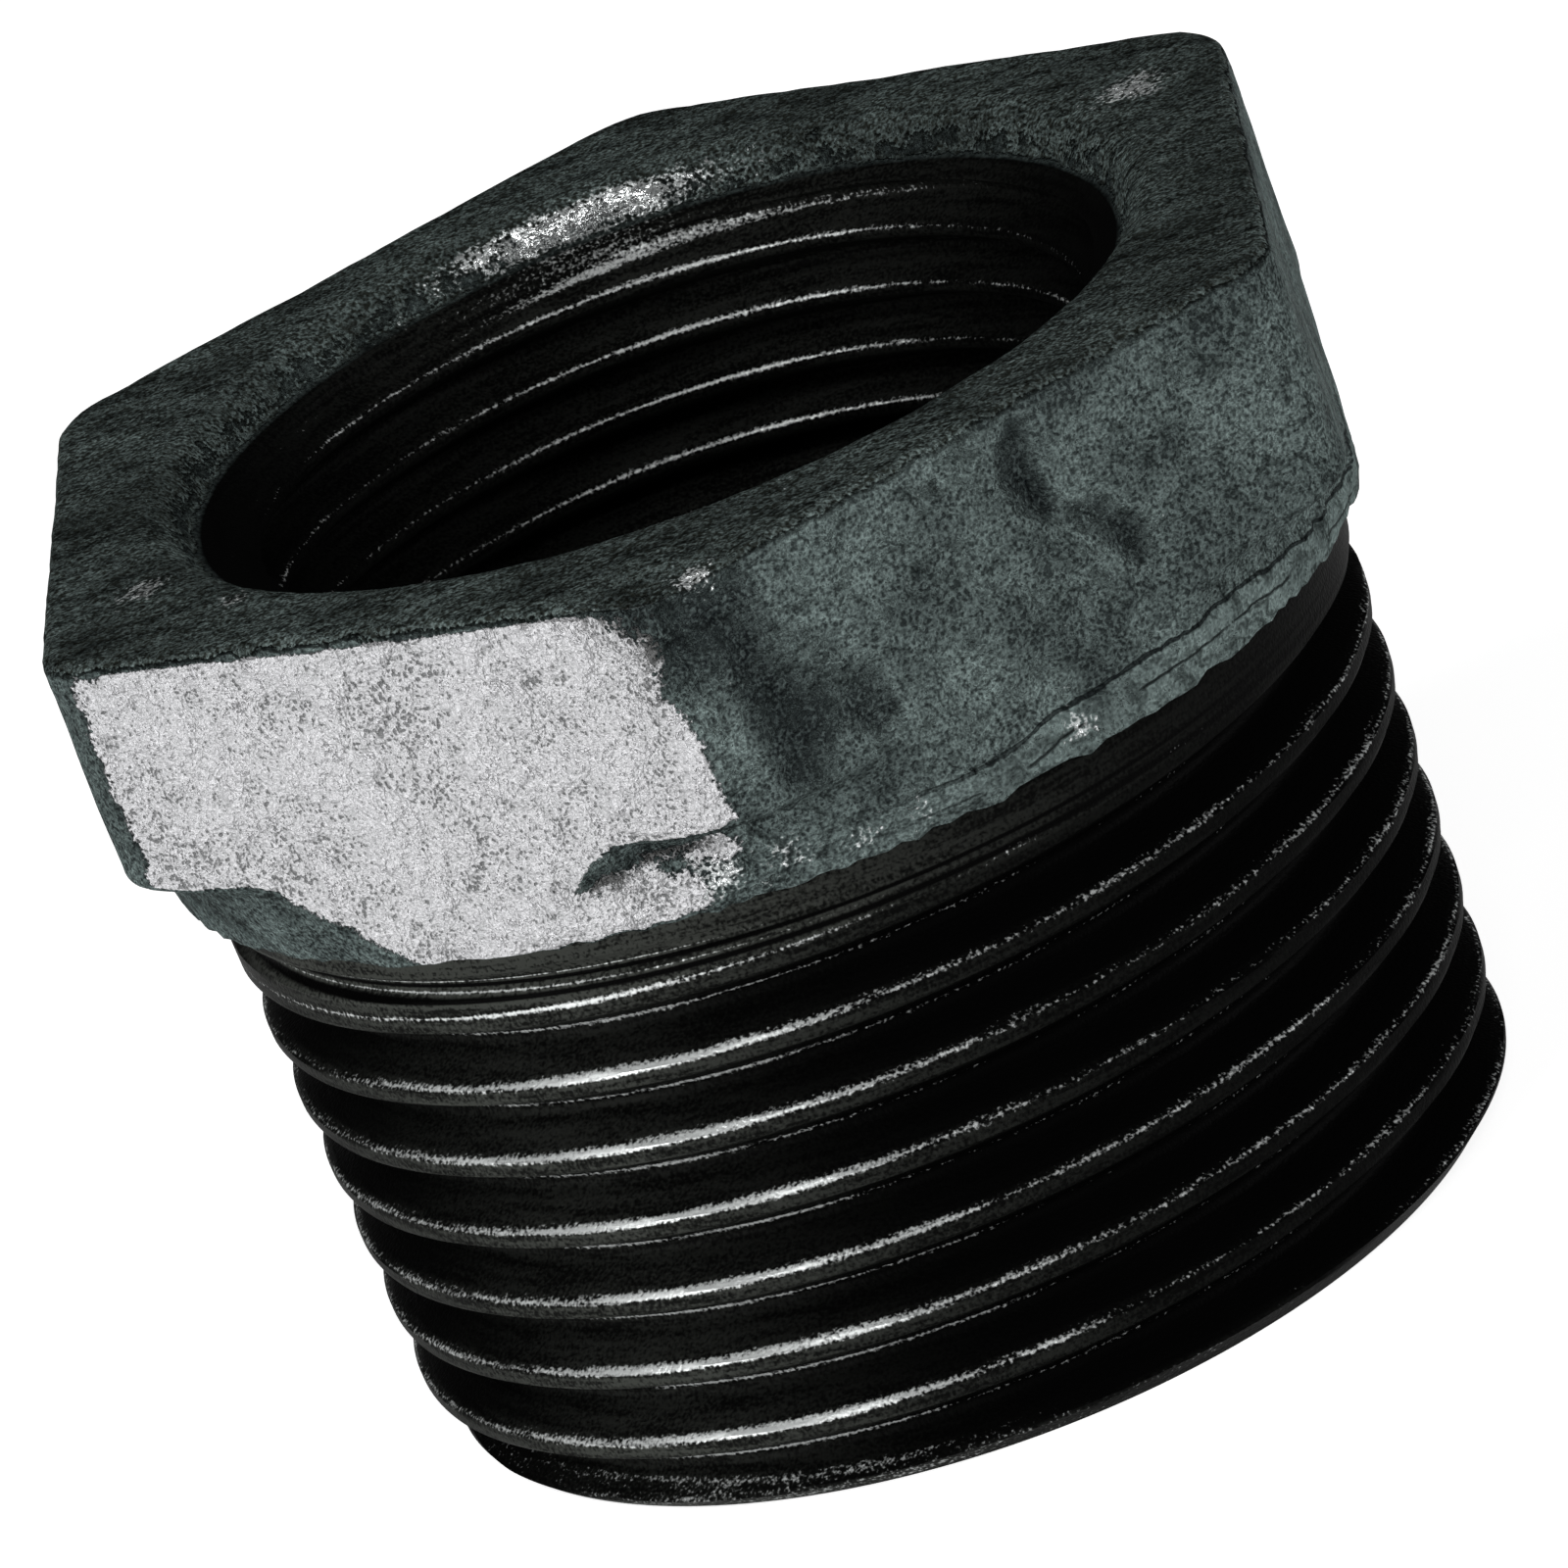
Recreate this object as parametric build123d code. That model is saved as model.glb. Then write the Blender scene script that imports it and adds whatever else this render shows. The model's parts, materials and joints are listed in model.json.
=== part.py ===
from build123d import *
import math
import os

# Hexagon reducing bushing in one piece of malleable cast iron: a 1 inch male taper
# thread outside, and a bore for a 3/4 inch female thread right through the middle.
# Millimetres, +Z up. The origin is the centre of the lower end face, on the axis that
# both threads share. Two corners of the hexagon lie on the X axis.
#
# The male thread is cut in full. The bore is at the tapping size of the finer female
# thread, which is the size over that thread's crests.

# Overall
TOTAL_HEIGHT = 28.5

# Cast hexagon
ACROSS_FLATS = 35.4
HEX_HEIGHT = 7.5
HEX_CORNER_RADIUS = 2.4
HEX_TOP_EDGE_BREAK = 0.4
UNDERSIDE_SLOPE = 16.0  # degrees, rising towards the corners

# Cast round collar, which runs down from the hexagon's underside
COLLAR_HEIGHT = 2.6
COLLAR_RADIUS = 17.75  # at its lower end
COLLAR_DRAFT = 13.0  # degrees from the axis

# Male pipe thread: 11 to the inch, tapered 1 in 16 on the diameter
MALE_PITCH = 25.4 / 11
MALE_GAUGE_DIAMETER = 33.249
MALE_GAUGE_LENGTH = 10.4
MALE_TAPER = 1 / 16
MALE_RUN_OUT_TURNS = 1.0
MALE_BAND_HEIGHT = 0.55  # plain metal between the end of the groove and the collar
MALE_CHAMFER = 0.7
MALE_GROOVE_ANGLE = 95.0  # degrees round from +X, where the groove starts at the end face

# Bore for the female pipe thread: 14 to the inch, parallel
FEMALE_PITCH = 25.4 / 14
FEMALE_MAJOR_DIAMETER = 26.441
FEMALE_CHAMFER_CLEARANCE = 0.1  # of the lower chamfer beyond the thread's major radius

# Mouth of the bore: a cast flare, and a machined countersink below it
FLARE_DIAMETER = 28.8
FLARE_DRAFT = 32.0  # degrees from the axis
COUNTERSINK_CLEARANCE = 0.45  # beyond the thread's major radius
COUNTERSINK_ANGLE = 60.0  # degrees from the axis

# Whitworth form, flat at crest and root, with widths as shares of the pitch
FLANK_ANGLE = 27.5
TRUNCATION = 1 / 6
FLAT_WIDTH = 1 / 6

# The thread's cutter stands this far out of the metal, and starts this many turns early
CUTTER_OVERRUN = 0.2
LEAD_TURNS = 1.0


def tangent(degrees):
    return math.tan(math.radians(degrees))


SHARP_DEPTH = 1 / (2 * tangent(FLANK_ANGLE))  # of an untruncated thread of pitch 1
THREAD_DEPTH = SHARP_DEPTH * (1 - 2 * TRUNCATION)

hex_bottom = TOTAL_HEIGHT - HEX_HEIGHT
collar_bottom = hex_bottom - COLLAR_HEIGHT

male_end_radius = (MALE_GAUGE_DIAMETER - MALE_GAUGE_LENGTH * MALE_TAPER) / 2
male_cone_angle = math.degrees(math.atan(MALE_TAPER / 2))
male_groove_length = collar_bottom - MALE_BAND_HEIGHT

female_depth = THREAD_DEPTH * FEMALE_PITCH
female_major_radius = FEMALE_MAJOR_DIAMETER / 2
female_minor_radius = female_major_radius - female_depth


def male_radius(height):
    """Radius over the male thread's crests at a height above the lower end face."""
    return male_end_radius + height * MALE_TAPER / 2


def groove_section(pitch, root_radius, height):
    """Corners (radius, height) of a thread groove, run out past its crest by the overrun."""
    half_root = pitch * FLAT_WIDTH / 2
    half_mouth = pitch * (1 - FLAT_WIDTH) / 2 + CUTTER_OVERRUN * tangent(FLANK_ANGLE)
    mouth_radius = root_radius + pitch * THREAD_DEPTH + CUTTER_OVERRUN
    return [
        (root_radius, height - half_root),
        (root_radius, height + half_root),
        (mouth_radius, height + half_mouth),
        (mouth_radius, height - half_mouth),
    ]


def end_face(pairs, place):
    """Flat face across a bar, at the start (0) or the end (1) of its rails."""
    return Face(Wire([Edge.make_line(lower @ place, upper @ place) for lower, upper in pairs]))


def helical_bar(section, pitch, turns, cone_angle=0.0):
    """Solid that a four-cornered section fills as it climbs a right-handed helix.

    Each side of the section becomes a ruled ribbon between two helices, one ribbon to a
    turn, and flat faces close the two ends. A cone angle makes the bar widen as it climbs.
    """
    slant_pitch = pitch / math.cos(math.radians(cone_angle))
    faces = []
    for turn in range(math.ceil(turns)):
        share = min(turns - turn, 1)
        widened = turn * pitch * tangent(cone_angle)
        rails = [
            Pos(0, 0, height + turn * pitch)
            * Edge.make_helix(slant_pitch, pitch * share, radius + widened, angle=cone_angle)
            for radius, height in section
        ]
        pairs = list(zip(rails, rails[1:] + rails[:1]))
        faces += [Face.make_surface_from_curves(lower, upper) for lower, upper in pairs]
        if turn == 0:
            faces.append(end_face(pairs, 0))
    faces.append(end_face(pairs, 1))
    return Solid(Shell(faces))


def turned(outline):
    """Solid of revolution about the Z axis from (radius, height) corners."""
    face = Face(Wire.make_polygon([(radius, 0, height) for radius, height in outline]))
    return revolve(face, Axis.Z)


def head():
    """Hexagon and collar as cast: a rounded hexagonal bar inside a turned envelope.

    The collar is a little wider than the flats are apart, so each flat runs on down
    into it, and the underside of the hexagon shows only at the corners.
    """
    reach = ACROSS_FLATS
    collar_top = COLLAR_RADIUS + COLLAR_HEIGHT * tangent(COLLAR_DRAFT)
    envelope = turned(
        [
            (0, collar_bottom),
            (COLLAR_RADIUS, collar_bottom),
            (collar_top, hex_bottom),
            (reach, hex_bottom + (reach - collar_top) * tangent(UNDERSIDE_SLOPE)),
            (reach, TOTAL_HEIGHT),
            (0, TOTAL_HEIGHT),
        ]
    )
    bar_outline = fillet(
        RegularPolygon(ACROSS_FLATS / 2, 6, major_radius=False).vertices(), HEX_CORNER_RADIUS
    )
    bar = extrude(Pos(0, 0, collar_bottom) * bar_outline, TOTAL_HEIGHT - collar_bottom)
    rim = bar.faces().sort_by(Axis.Z)[-1].edges()
    return chamfer(rim, HEX_TOP_EDGE_BREAK) & envelope


def shank_blank():
    """Taper that the male thread is cut on, chamfered at its lower end."""
    return turned(
        [
            (0, 0),
            (male_radius(MALE_CHAMFER) - MALE_CHAMFER, 0),
            (male_radius(MALE_CHAMFER), MALE_CHAMFER),
            (male_radius(collar_bottom), collar_bottom),
            (0, collar_bottom),
        ]
    )


def male_groove():
    """Cutters for the male thread: the full groove, then its run-out to the surface."""
    depth = THREAD_DEPTH * MALE_PITCH
    start = -LEAD_TURNS * MALE_PITCH
    full_turns = (male_groove_length - start) / MALE_PITCH - MALE_RUN_OUT_TURNS
    run_out_start = start + full_turns * MALE_PITCH
    climb = depth / (MALE_RUN_OUT_TURNS * MALE_PITCH) + MALE_TAPER / 2
    full = helical_bar(
        groove_section(MALE_PITCH, male_radius(start) - depth, start),
        MALE_PITCH,
        full_turns,
        male_cone_angle,
    )
    run_out = helical_bar(
        groove_section(MALE_PITCH, male_radius(run_out_start) - depth, run_out_start),
        MALE_PITCH,
        MALE_RUN_OUT_TURNS,
        math.degrees(math.atan(climb)),
    )
    first_angle = MALE_GROOVE_ANGLE - 360 * LEAD_TURNS
    return [Rot(0, 0, first_angle) * full, Rot(0, 0, first_angle + 360 * full_turns) * run_out]


def bore():
    """Cutter for the bore: lower chamfer, tapping bore, countersink and cast flare."""
    flare_radius = FLARE_DIAMETER / 2
    countersink_radius = female_major_radius + COUNTERSINK_CLEARANCE
    flare_bottom = TOTAL_HEIGHT - (flare_radius - countersink_radius) / tangent(FLARE_DRAFT)
    countersink_depth = (countersink_radius - female_minor_radius) / tangent(COUNTERSINK_ANGLE)
    chamfer_radius = female_major_radius + FEMALE_CHAMFER_CLEARANCE
    return turned(
        [
            (0, 0),
            (chamfer_radius, 0),
            (female_minor_radius, chamfer_radius - female_minor_radius),
            (female_minor_radius, flare_bottom - countersink_depth),
            (countersink_radius, flare_bottom),
            (flare_radius, TOTAL_HEIGHT),
            (0, TOTAL_HEIGHT),
        ]
    )


def hex_bushing():
    """The whole bushing: the casting first, then the bore, then the male thread."""
    blank = head() + shank_blank() - bore()
    for cutter in male_groove():
        blank -= cutter
    return blank


os.makedirs("parts", exist_ok=True)
bushing = hex_bushing()
bushing.label = "hex_bushing"
export_step(bushing, "parts/hex_bushing.step")
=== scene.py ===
import json
import math

import bmesh
import bpy
from bpy.props import FloatProperty, FloatVectorProperty, IntProperty, PointerProperty
from mathutils import Matrix, Vector, noise


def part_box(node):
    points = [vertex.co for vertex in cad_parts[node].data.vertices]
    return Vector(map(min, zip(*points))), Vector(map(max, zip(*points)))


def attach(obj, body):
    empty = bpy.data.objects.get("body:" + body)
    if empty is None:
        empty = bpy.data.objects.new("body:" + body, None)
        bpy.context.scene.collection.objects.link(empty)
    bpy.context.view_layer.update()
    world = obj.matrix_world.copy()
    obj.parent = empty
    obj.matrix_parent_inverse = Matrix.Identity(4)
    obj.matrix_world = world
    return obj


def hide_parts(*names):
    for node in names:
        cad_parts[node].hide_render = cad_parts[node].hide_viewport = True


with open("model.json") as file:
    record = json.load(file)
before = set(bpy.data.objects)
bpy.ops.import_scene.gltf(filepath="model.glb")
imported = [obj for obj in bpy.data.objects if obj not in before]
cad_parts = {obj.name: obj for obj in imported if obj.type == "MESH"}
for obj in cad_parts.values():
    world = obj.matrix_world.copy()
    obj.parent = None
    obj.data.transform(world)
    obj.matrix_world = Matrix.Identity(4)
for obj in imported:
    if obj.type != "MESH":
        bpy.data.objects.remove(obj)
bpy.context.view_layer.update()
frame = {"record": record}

bl_info = {
    "name": "Hexagon Reducing Bushing",
    "version": (1, 0, 0),
    "blender": (4, 5, 0),
    "location": "View3D > Sidebar > Bushing",
    "description": "Cast iron pipe bushing with threads outside and inside, and its studio",
    "category": "Object",
}

MM = 0.001
FULL_TURN = 2 * math.pi
SIXTH_TURN = FULL_TURN / 6
NODE = "hex_bushing"

lowest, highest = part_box(NODE)
mounts = {mount["name"]: mount for mount in frame["record"]["mounts"]}

# Whitworth thread form, in pitches: rounded crests and roots joined by straight flanks
FLANK_ANGLE = math.radians(27.5)
THREAD_DEPTH = 0.640327
ARC_RADIUS = 0.137329
ARC_REACH = ARC_RADIUS * math.cos(FLANK_ANGLE)
ARC_RISE = ARC_RADIUS * (1 - math.sin(FLANK_ANGLE))

# How much of the outer thread's crests is worn flat, in pitches
CREST_WEAR = 0.03

# The hexagon's six corners as cast, starting on the X axis
CORNER_RADII = [2.4 * MM, 3.3 * MM, 2.7 * MM, 2.4 * MM, 2.6 * MM, 2.8 * MM]

# Rows of faces on each stretch of the cast section: up the flare, across the top, down the
# flat, under the hexagon, down the collar and in to the thread. Then those of the end face
CAST_ROWS = [7, 13, 20, 5, 8, 3]
END_ROWS = 4

# How far the round between each cast stretch and the next one reaches along both
CAST_SOFTNESS = [0.9 * MM, 0.5 * MM, 0.4 * MM, 0.35 * MM, 0.12 * MM]

# How much rows crowd towards both ends of a cast stretch and towards the mouth of the bore,
# and columns towards the corners of the hexagon
STRETCH_CROWDING = 0.08
BORE_CROWDING = 0.12
COLUMN_CROWDING = 0.25

# Least heights of the collar's side and of the hexagon's sloping underside
COLLAR_LEAST = 0.8 * MM
UNDERSIDE_LEAST = 0.3 * MM

# How far the torn edges of the cast skin stray, at the flare's foot and under the collar
FLARE_TEAR = 0.12 * MM
COLLAR_TEAR = 0.22 * MM

# Burrs where the inner thread breaks out: depth below the flare, reach, and size to reach
BURR_DEPTH = 0.9 * MM
BURR_REACH = 0.5 * MM
BURR_SIZE = 0.3

# Edges that turn more than this stay sharp
SHARP_EDGE = math.radians(38)

# Unevenness of the sand casting: its depth, its level, and its two sizes in bumps to the metre
SAND_DEPTH = 0.03 * MM
SAND_LEVEL = 0.4
BROAD_SAND = 300
FINE_SAND = 900
FINE_SAND_SHIFT = Vector((7, 3, 5))

# How far the outlines of the low places below are warped, how closely, to the metre, and the
# seed of the noise that warps them
WARP = 0.35 * MM
WARP_SCALE = 1100
WARP_SEED = 1795446152

# Low places that the mould left in the casting: angle, radius, height, reach and depth
HOLLOWS = [
    (-56, 19.6, 27.4, 1.1, 0.34),
    (-55, 19.5, 25.6, 1.1, 0.32),
    (-54, 19.4, 23.8, 1.2, 0.34),
    (-54, 19.3, 22.0, 1.0, 0.30),
    (-49, 18.8, 25.2, 0.7, 0.20),
    (-47, 18.6, 22.6, 0.8, 0.22),
    (-63, 19.8, 28.4, 1.5, 0.42),
    (-61, 20.0, 26.2, 1.1, 0.22),
    (-79, 17.9, 20.35, 0.45, 0.16),
    (-77, 17.9, 20.35, 0.45, 0.22),
    (-75, 17.9, 20.35, 0.45, 0.30),
    (-73, 18.0, 20.4, 0.45, 0.30),
    (-71, 18.1, 20.5, 0.45, 0.30),
    (-69, 18.2, 20.6, 0.45, 0.28),
    (-67, 18.4, 20.7, 0.45, 0.28),
    (-65, 18.5, 20.8, 0.50, 0.30),
    (-48, 18.7, 23.4, 1.0, 0.20),
    (-43, 18.2, 26.4, 0.9, 0.16),
    (-33, 17.7, 27.6, 0.8, 0.18),
    (-26.2, 17.7, 27.6, 0.45, 0.28),
    (-26.8, 17.7, 27.0, 0.45, 0.34),
    (-27.3, 17.7, 26.3, 0.50, 0.40),
    (-26.9, 17.7, 25.7, 0.45, 0.34),
    (-25.7, 17.7, 25.2, 0.45, 0.34),
    (-24.2, 17.8, 24.9, 0.40, 0.32),
    (-22.6, 17.8, 24.6, 0.40, 0.30),
    (-21.0, 17.9, 24.2, 0.40, 0.30),
    (-19.8, 18.0, 23.6, 0.50, 0.38),
    (-18.8, 18.0, 23.0, 0.50, 0.38),
    (-17.6, 18.1, 22.4, 0.40, 0.30),
    (-29.5, 17.7, 23.6, 0.7, 0.16),
    (-25.5, 17.7, 22.3, 0.7, 0.18),
    (-38, 17.9, 22.0, 0.8, 0.16),
    (-36.5, 17.9, 25.0, 0.5, 0.20),
    (-31.5, 17.8, 21.2, 0.5, 0.22),
    (-10, 18.7, 26.0, 0.9, 0.12),
    (27, 17.8, 24.5, 2.0, 0.22),
    (95, 17.8, 25.4, 2.2, 0.25),
    (146, 17.8, 23.4, 1.8, 0.25),
    (155, 17.8, 26.6, 1.3, 0.20),
    (212, 17.8, 25.0, 2.0, 0.25),
]

# Rubbed places that shine on the casting: angle, radius, height, reach and strength
RUBS = [
    (-126, 16.0, 28.5, 0.9, 0.7),
    (-111, 15.5, 28.5, 0.6, 0.7),
    (55, 16.4, 28.5, 1.3, 0.7),
    (-57, 19.4, 28.4, 0.7, 0.8),
    (-30, 17.9, 19.4, 0.6, 0.75),
    (-46, 17.9, 19.2, 0.6, 0.45),
    (-52, 17.9, 19.2, 0.7, 0.55),
    (-58, 18.2, 19.5, 0.7, 0.65),
    (-64.5, 18.3, 19.7, 0.9, 0.95),
    (-62, 18.9, 20.5, 0.35, 0.8),
    (-80, 17.9, 18.9, 0.6, 0.6),
    (-72, 18.0, 19.2, 0.7, 0.6),
]

# The flare's rubbed rim: its radius and its width
RIM_RADIUS = 14.1 * MM
RIM_WIDTH = 0.5 * MM

# The mould's joint line round the foot of the hexagon: its height and how far it wanders
JOINT_HEIGHT = 19.85 * MM
JOINT_WANDER = 0.5 * MM

# The step that the casting has above the joint line: its depth and its reach upwards
JOINT_STEP = 0.16 * MM
JOINT_STEP_REACH = 0.9 * MM

# Where the joint line shows, as angles: its middle, how far it goes either way, and its ends
JOINT_MIDDLE = -0.1
JOINT_REACH = 0.95
JOINT_END = 0.5

# The mesh tells the material where the joint is by a number that grows downwards over the
# span, and has these values on the line and on the fainter second line below it
JOINT_SPAN = 2 * MM
JOINT_MARK = 0.25
SECOND_MARK = 0.6

# The flat that carries a painted highlight: the way it faces, and how squarely a place has to face that way
HIGHLIT_SIDE = Vector((0.10, -0.98, -0.12)).normalized()
HIGHLIT_LEAST = 0.92
HIGHLIT_FADE = 0.05

# Where the flat's painted highlight is left off at its foot: a point on its slanting edge, in degrees and
# metres, how far the edge runs each way, and the height up to which the highlight is left off
EDGE_ANGLE = -95
EDGE_HEIGHT = 18.9 * MM
EDGE_RUN = 7
EDGE_RISE = 1.5 * MM
EDGE_TOP = 20.6 * MM
EDGE_TOP_FADE = 0.4 * MM

# Angles round from the X axis where the painted highlights on the countersink and the threads are brightest,
# where the flare's rim is rubbed brightest, and towards which the threads are painted lighter grey
FLARE_SHINE = math.radians(128)
THREAD_SHINE = math.radians(-82)
BORE_SHINE = math.radians(118)
LIT_SIDE = math.radians(-93)

# Painted highlight ring on the countersink: its depth below the flare, its width and its brightest side
LIP_DEPTH = 0.8 * MM
LIP_WIDTH = 0.16 * MM
LIP_SHINE = BORE_SHINE - 0.2

# How much lighter grey is painted towards the lit side on the outer thread's grooves, its crests and the
# plain band above them, how deep a crest goes, as a share of the groove, and how low the band starts
GROOVE_LIT = 0.22
CREST_LIT = 0.5
BAND_LIT = 1.15
CREST_SHARE = 0.12
BAND_DROP = 1.2 * MM

# Lines of light along the threads, in pitches above the middle of the groove, and their reach
OUTER_CREST_LINE = (0.61, 0.085)
OUTER_ROOT_LINE = (0.065, 0.075)
INNER_CREST_LINE = (0.58, 0.075)

# Rings round the end of the outer thread, bright ones of painted highlight and dark ones where the painted
# grey is left out: height and reach
HIGHLIGHT_RINGS = [(17.03 * MM, 0.07 * MM), (17.34 * MM, 0.045 * MM)]
DARK_RINGS = [(17.21 * MM, 0.10 * MM), (16.85 * MM, 0.16 * MM)]

# Numbers that the mesh carries for the material: what is machined, where highlights and lighter grey are
# painted on it, and what the casting is like, with the flat's painted highlight and the faces that take
# painted shade
MARKS = (
    "machined",
    "polish_and_highlight",
    "outer_highlight",
    "inner_highlight",
    "lit_grey",
    "level",
    "highlit",
    "rubbed",
    "sunk",
    "joint",
    "joint_seen",
)

# Height that the lamps are turned to
LAMP_AIM = 15 * MM


class BushingSizes(bpy.types.PropertyGroup):
    """Sizes of the bushing"""

    total_height: FloatProperty(
        name="Height",
        description="Length from the lower end face to the top of the hexagon",
        default=highest.z - lowest.z,
        unit="LENGTH",
    )
    across_flats: FloatProperty(
        name="Across Flats",
        description="Width of the hexagon from flat to flat",
        default=highest.y - lowest.y,
        unit="LENGTH",
    )
    hex_height: FloatProperty(
        name="Hexagon Height", description="Height of the hexagon", default=7.5 * MM, unit="LENGTH"
    )
    underside_slope: FloatProperty(
        name="Underside Slope",
        description="Rise of the hexagon's underside towards its corners",
        default=math.radians(16),
        subtype="ANGLE",
    )
    collar_height: FloatProperty(
        name="Collar Height",
        description="Height of the round collar under the hexagon",
        default=2.6 * MM,
        unit="LENGTH",
    )
    collar_radius: FloatProperty(
        name="Collar Radius",
        description="Radius of the collar's lower end",
        default=17.75 * MM,
        unit="LENGTH",
    )
    collar_draft: FloatProperty(
        name="Collar Draft",
        description="Angle of the collar from the axis",
        default=math.radians(13),
        subtype="ANGLE",
    )
    male_pitch: FloatProperty(
        name="Outer Pitch", description="Pitch of the outer thread", default=25.4 / 11 * MM, unit="LENGTH"
    )
    male_end_radius: FloatProperty(
        name="Outer Thread Radius",
        description="Radius over the outer thread's crests at the lower end",
        default=16.2995 * MM,
        unit="LENGTH",
    )
    male_taper: FloatProperty(
        name="Outer Thread Taper",
        description="Growth of the outer thread's radius with height",
        default=1 / 32,
    )
    male_groove_angle: FloatProperty(
        name="Outer Thread Start",
        description="Angle at which the outer groove starts at the lower end",
        default=math.radians(95),
        subtype="ANGLE",
    )
    male_groove_end: FloatProperty(
        name="Outer Groove End",
        description="Height at which the outer groove has run out to the surface",
        default=17.85 * MM,
        unit="LENGTH",
    )
    male_chamfer: FloatProperty(
        name="End Chamfer", description="Chamfer round the lower end", default=0.7 * MM, unit="LENGTH"
    )
    female_pitch: FloatProperty(
        name="Inner Pitch", description="Pitch of the inner thread", default=25.4 / 14 * MM, unit="LENGTH"
    )
    female_crest_radius: FloatProperty(
        name="Inner Thread Radius",
        description="Radius over the inner thread's crests",
        default=mounts["female_thread"]["dims"]["r_mm"] * MM,
        unit="LENGTH",
    )
    female_groove_angle: FloatProperty(
        name="Inner Thread Start",
        description="Angle at which the inner groove starts at the lower end",
        default=math.radians(200),
        subtype="ANGLE",
    )
    female_chamfer_radius: FloatProperty(
        name="Bore Chamfer Radius",
        description="Radius of the bore's chamfer at the lower end",
        default=13.32 * MM,
        unit="LENGTH",
    )
    countersink_radius: FloatProperty(
        name="Countersink Radius",
        description="Radius at which the countersink meets the cast flare",
        default=13.67 * MM,
        unit="LENGTH",
    )
    countersink_angle: FloatProperty(
        name="Countersink Angle",
        description="Angle of the countersink from the axis",
        default=math.radians(60),
        subtype="ANGLE",
    )
    flare_radius: FloatProperty(
        name="Flare Radius",
        description="Radius of the cast flare at the top",
        default=14.4 * MM,
        unit="LENGTH",
    )
    flare_depth: FloatProperty(
        name="Flare Depth", description="Depth of the cast flare", default=1.15 * MM, unit="LENGTH"
    )
    columns: IntProperty(
        name="Columns", description="Faces round the bushing, a multiple of six", default=240, min=60
    )
    male_rows: IntProperty(
        name="Outer Thread Rows", description="Faces across one pitch of the outer thread", default=20, min=8
    )
    female_rows: IntProperty(
        name="Inner Thread Rows", description="Faces across one pitch of the inner thread", default=12, min=8
    )


class IronFinish(bpy.types.PropertyGroup):
    """Colours of the iron, among them painted highlights and painted shade"""

    skin_dark: FloatVectorProperty(
        name="Skin Hollows",
        description="Cast skin where it is darkest",
        default=(0.007, 0.009, 0.010),
        subtype="COLOR",
    )
    skin_light: FloatVectorProperty(
        name="Skin Raised",
        description="Cast skin on its raised grain",
        default=(0.22, 0.28, 0.27),
        subtype="COLOR",
    )
    scuff: FloatVectorProperty(
        name="Rubbed", description="Cast skin rubbed bright", default=(0.85, 0.88, 0.88), subtype="COLOR"
    )
    # Painted highlight: pale colour on the flat turned towards the key lamp
    highlit: FloatVectorProperty(
        name="Bare Flat",
        description="Flat that is clean of scale and oil",
        default=(0.60, 0.60, 0.615),
        subtype="COLOR",
    )
    # Painted highlight, dimmer where the flat's grain is low
    highlight_grain: FloatVectorProperty(
        name="Soiled Flat",
        description="Dirt in the low grain of the bare flat",
        default=(0.41, 0.415, 0.42),
        subtype="COLOR",
    )
    # Painted shade: dark colour laid on the upward faces and in the flat's dents
    painted_shade: FloatVectorProperty(
        name="Grime",
        description="Oily dirt on the upper faces and in dents",
        default=(0.013, 0.0145, 0.0115),
        subtype="COLOR",
    )
    oiled: FloatVectorProperty(
        name="Oiled Thread",
        description="Machined iron under cutting oil",
        default=(0.001, 0.001, 0.001),
        subtype="COLOR",
    )
    # Painted light: this grey is laid on the oiled thread towards the lit side
    flank: FloatVectorProperty(
        name="Thread Flanks",
        description="Grey streaks on the oiled thread",
        default=(0.036, 0.0385, 0.0345),
        subtype="COLOR",
    )
    # Painted highlight: pale, half-metal colour of the lines along the thread crests
    crest: FloatVectorProperty(
        name="Thread Crests",
        description="Machined iron rubbed bright on the crests",
        default=(0.60, 0.62, 0.615),
        subtype="COLOR",
    )


class StudioSettings(bpy.types.PropertyGroup):
    """Camera, floor and even light"""

    azimuth: FloatProperty(
        name="Camera Azimuth",
        description="Direction from the bushing to the camera, round from the X axis",
        default=math.radians(-54.417),
        subtype="ANGLE",
    )
    elevation: FloatProperty(
        name="Camera Elevation",
        description="Height of the camera above the bushing as an angle",
        default=math.radians(21.010),
        subtype="ANGLE",
    )
    roll: FloatProperty(
        name="Camera Roll",
        description="Tilt of the camera about its line of sight",
        default=math.radians(-20.683),
        subtype="ANGLE",
    )
    distance: FloatProperty(
        name="Camera Distance",
        description="Distance from the camera to the point it looks at",
        default=306.13 * MM,
        unit="LENGTH",
    )
    aim: FloatVectorProperty(
        name="Camera Aim",
        description="Point that the camera looks at",
        default=(-0.465 * MM, -0.513 * MM, 14.617 * MM),
        subtype="TRANSLATION",
    )
    lens: FloatProperty(
        name="Lens", description="Focal length in millimetres", default=248.68, min=1, max=1000
    )
    sensor_width: FloatProperty(
        name="Sensor Width", description="Width of the camera's sensor in millimetres", default=36, min=1
    )
    floor_size: FloatProperty(
        name="Floor Size", description="Width of the floor", default=3.0, unit="LENGTH"
    )
    floor_colour: FloatVectorProperty(
        name="Floor Colour", description="Colour of the floor", default=(0.8, 0.8, 0.8), subtype="COLOR"
    )
    floor_glow: FloatProperty(
        name="Floor Glow",
        description="Brightness that the floor has of itself to the camera and in reflections",
        default=0.75,
    )
    fill: FloatProperty(
        name="Fill Light", description="Strength of the even light from all sides", default=0.05
    )


def clamped(number):
    """The number, kept from 0 to 1."""
    return min(max(number, 0), 1)


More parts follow.
